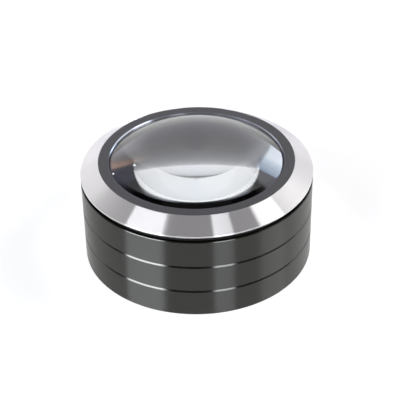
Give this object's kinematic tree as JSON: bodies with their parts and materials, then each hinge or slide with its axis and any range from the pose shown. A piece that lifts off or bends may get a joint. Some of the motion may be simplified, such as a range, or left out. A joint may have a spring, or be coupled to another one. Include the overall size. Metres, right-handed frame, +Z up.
{
  "type": "low vision magnifier",
  "caption": "Round illuminated stand magnifier: a domed glass lens in a bright chamfered bezel that twists on a black grooved ring to switch the lamps inside on.",
  "frame": {"origin": "centre of the circle the foot ring rests on, at the foot's underside", "axes": "+Z up through the centre of the lens; the battery cap is under the wall on the +Y side; -Y faces the viewer"},
  "size_m": [0.09, 0.09, 0.0505],
  "materials": {
    "black_anodised": "black anodised, turned, satin",
    "black_liner": "matte black anodised",
    "black_plastic": "moulded acetal",
    "board": "glass-fibre board with green solder mask",
    "lamp": "clear moulded epoxy",
    "chip": "ceramic chip, black face",
    "contact_metal": "plated, bright",
    "steel": "nickel plated",
    "white_plastic": "moulded, natural",
    "base_metal": "black anodised, matte",
    "rubber": "matte",
    "bezel_aluminium": "turned, clear anodised",
    "black_ring": "black anodised, fine satin",
    "lens_glass": "polished crown glass, black inked edge",
    "black_carrier": "matte black anodised",
    "cap_metal": "black anodised, satin"
  },
  "bodies": {
    "base": {"barrel": "black_anodised", "liner": "black_liner", "glide_washer": "black_plastic", "pcb": "board", "led_left": "lamp", "led_right": "lamp", "led_front": "lamp", "resistors": "chip", "track_common": "contact_metal", "track_switched": "contact_metal", "stop_pin": "steel", "pcb_screws": "steel", "positive_contact": "contact_metal", "battery_sleeve": "white_plastic", "cell_lower": "steel", "cell_middle": "steel", "cell_upper": "steel", "battery_spring": "steel", "base_plate": "base_metal", "base_screws": "steel", "foot_ring": "rubber"},
    "head": {"bezel": "bezel_aluminium", "retaining_ring": "black_ring", "lens": "lens_glass", "lens_gasket": "rubber", "head_carrier": "black_carrier", "bezel_screws": "steel", "head_clip": "steel", "head_oring": "rubber", "wiper": "contact_metal", "wiper_rivets": "contact_metal"},
    "cap": {"battery_cap": "cap_metal", "cap_oring": "rubber"}
  },
  "joints": [
    {"name": "head_twist", "type": "hinge", "parent": "base", "child": "head", "pos_m": [0, 0, 0.035], "axis": [0, 0, 1], "range_deg": [0, 40]},
    {"name": "cap_turn", "type": "hinge", "parent": "base", "child": "cap", "pos_m": [0, 0.0389, 0.001], "axis": [0, 0, 1], "range_deg": [0, 55]}
  ]
}
